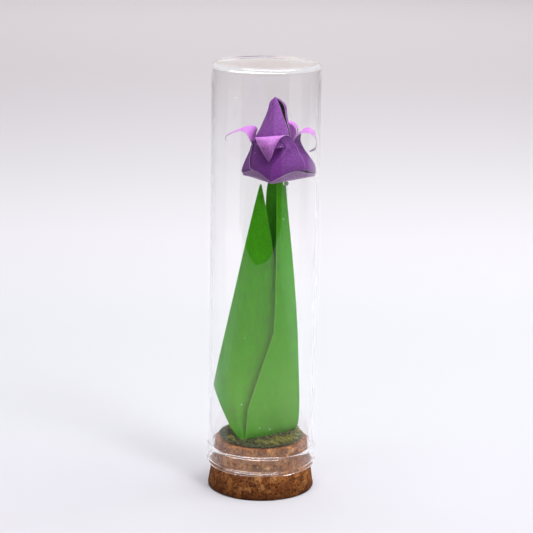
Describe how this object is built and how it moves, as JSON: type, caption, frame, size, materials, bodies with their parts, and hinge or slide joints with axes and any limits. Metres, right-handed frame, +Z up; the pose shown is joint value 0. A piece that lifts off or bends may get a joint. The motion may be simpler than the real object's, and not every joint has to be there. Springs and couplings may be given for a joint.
{
  "type": "paper tulip in a corked glass tube",
  "caption": "Tulip folded from purple and green paper, standing on dried moss on a cork stopper under an upturned clear glass tube.",
  "frame": {"origin": "middle of the cork stopper's underside, on the surface that it stands on", "axes": "+Z up along the tube, -Y the side that the flower faces, +X to the right seen from there"},
  "size_m": [0.0308, 0.0308, 0.121],
  "materials": {
    "clear_glass": "polished",
    "agglomerated_cork": "matte, granular",
    "dried_moss": "matte",
    "pale_moss": "matte",
    "green_paper": "matte, smooth paper",
    "violet_paper": "satin, smooth paper",
    "clear_glue": "glossy"
  },
  "bodies": {
    "root": {"glass_tube": "clear_glass", "cork_stopper": "agglomerated_cork", "moss_bed": "dried_moss", "moss_sprig_1": "pale_moss", "moss_sprig_2": "pale_moss", "moss_sprig_3": "pale_moss", "moss_sprig_4": "pale_moss", "moss_sprig_5": "pale_moss", "stem_and_leaf": "green_paper", "bloom": "violet_paper", "bloom_glue": "clear_glue", "foot_glue": "clear_glue"}
  },
  "joints": []
}
